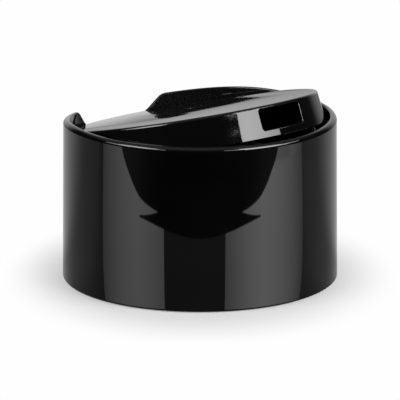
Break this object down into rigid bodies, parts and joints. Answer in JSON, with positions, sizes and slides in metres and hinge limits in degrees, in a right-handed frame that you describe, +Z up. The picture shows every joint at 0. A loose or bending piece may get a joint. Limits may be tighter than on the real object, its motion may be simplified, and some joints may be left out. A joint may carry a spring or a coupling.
{
  "type": "disc top cap",
  "caption": "Black moulded screw closure for a bottle neck, with a tilting press disc that opens a pouring window.",
  "frame": {"origin": "on the bottle axis in the plane of the open foot", "axes": "+Z up the bottle axis to the rim, -Y towards the pouring window, +Y towards the finger notch"},
  "size_m": [0.0414, 0.0414, 0.0295],
  "materials": {
    "body_plastic": "glossy moulded black",
    "disc_plastic": "glossy moulded black"
  },
  "bodies": {
    "body": {"cap_body": "body_plastic"},
    "disc": {"press_disc": "disc_plastic"}
  },
  "joints": [
    {"name": "disc_tilt", "type": "hinge", "parent": "body", "child": "disc", "pos_m": [0, 0.0039, 0.021], "axis": [1, 0, 0], "range_deg": [0, 13.5]}
  ]
}
